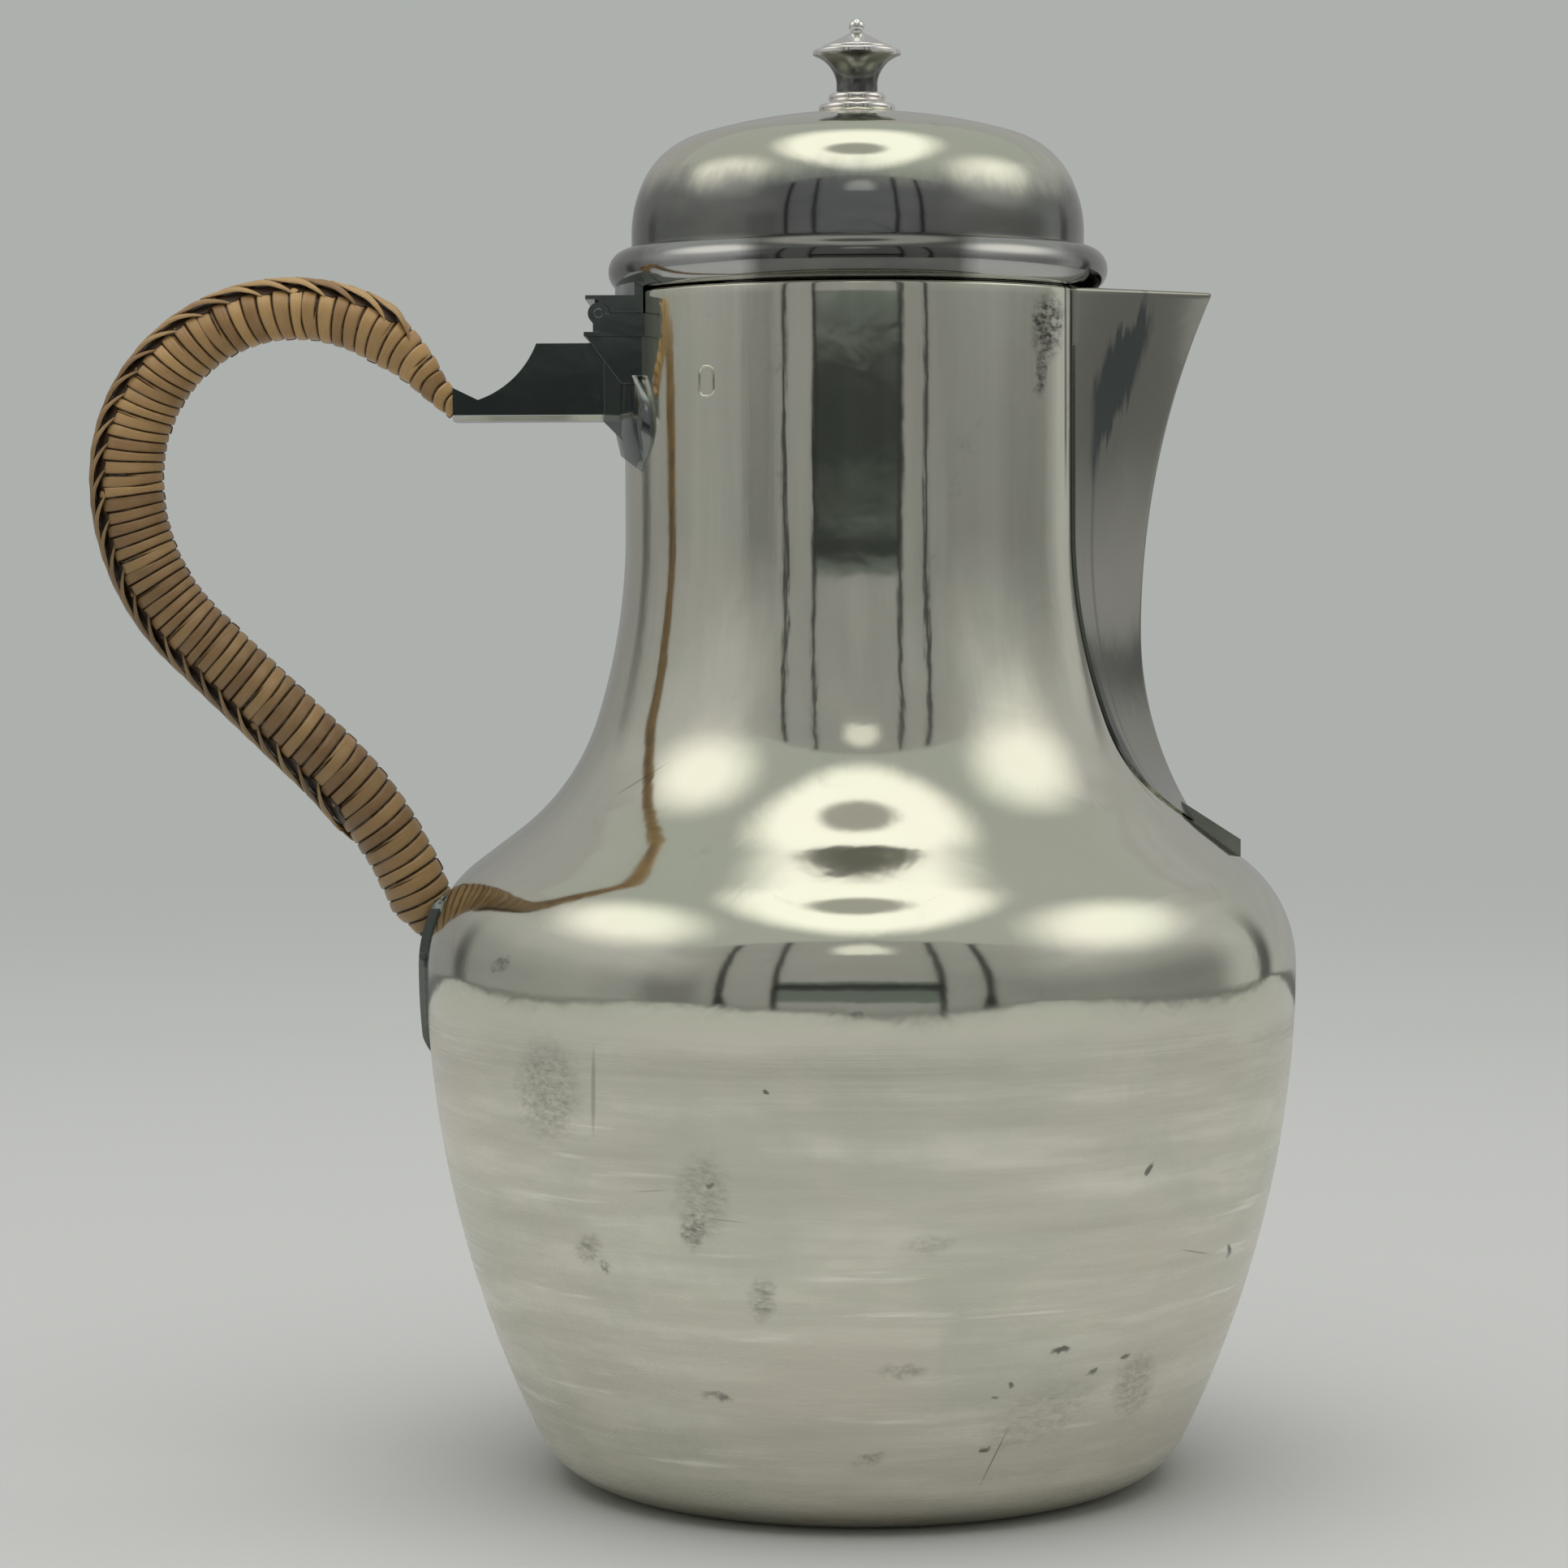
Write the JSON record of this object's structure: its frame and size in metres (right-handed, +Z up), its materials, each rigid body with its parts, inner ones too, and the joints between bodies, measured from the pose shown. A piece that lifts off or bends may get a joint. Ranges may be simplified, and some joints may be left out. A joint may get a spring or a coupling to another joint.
{
  "type": "lidded milk jug",
  "caption": "Silver hot-milk jug with hinged domed lid, turned finial, folded beak spout and cane-wrapped loop handle on a bracket.",
  "frame": {"origin": "centre of the flat base, on the vessel's axis at table height", "axes": "+Z up along the vessel's axis, +X towards the spout, -X towards the handle, +Y to the left seen from the handle looking to the spout"},
  "size_m": [0.1474, 0.1064, 0.1782],
  "materials": {
    "silver": "hand-polished silver, worn, with light tarnish",
    "silver_fittings": "polished silver fittings, darker from tarnish in the corners",
    "steel": "plain steel",
    "cane": "aged split cane, slightly glossy",
    "cane_plait": "darker plaited cane"
  },
  "bodies": {
    "jug": {"vessel_body": "silver", "spout_sheet": "silver", "spout_heel": "silver_fittings", "neck_plate": "silver_fittings", "handle_bracket": "silver_fittings", "handle_rod": "silver_fittings", "cane_wrap": "cane", "cane_plait": "cane_plait", "lower_foot": "silver_fittings", "hinge_body_leaf": "silver_fittings", "hinge_pin": "steel"},
    "lid": {"hinge_lid_leaf": "silver_fittings", "lid_dome": "silver", "lid_moulding": "silver", "lid_bezel": "silver", "finial_collar": "silver", "finial_knob": "silver", "finial_stud": "steel", "finial_washer": "steel", "finial_nut": "steel"}
  },
  "joints": [
    {"name": "lid_hinge", "type": "hinge", "parent": "jug", "child": "lid", "pos_m": [-0.0311, 0, 0.14185], "axis": [0, -1, 0], "range_deg": [0, 100]}
  ]
}
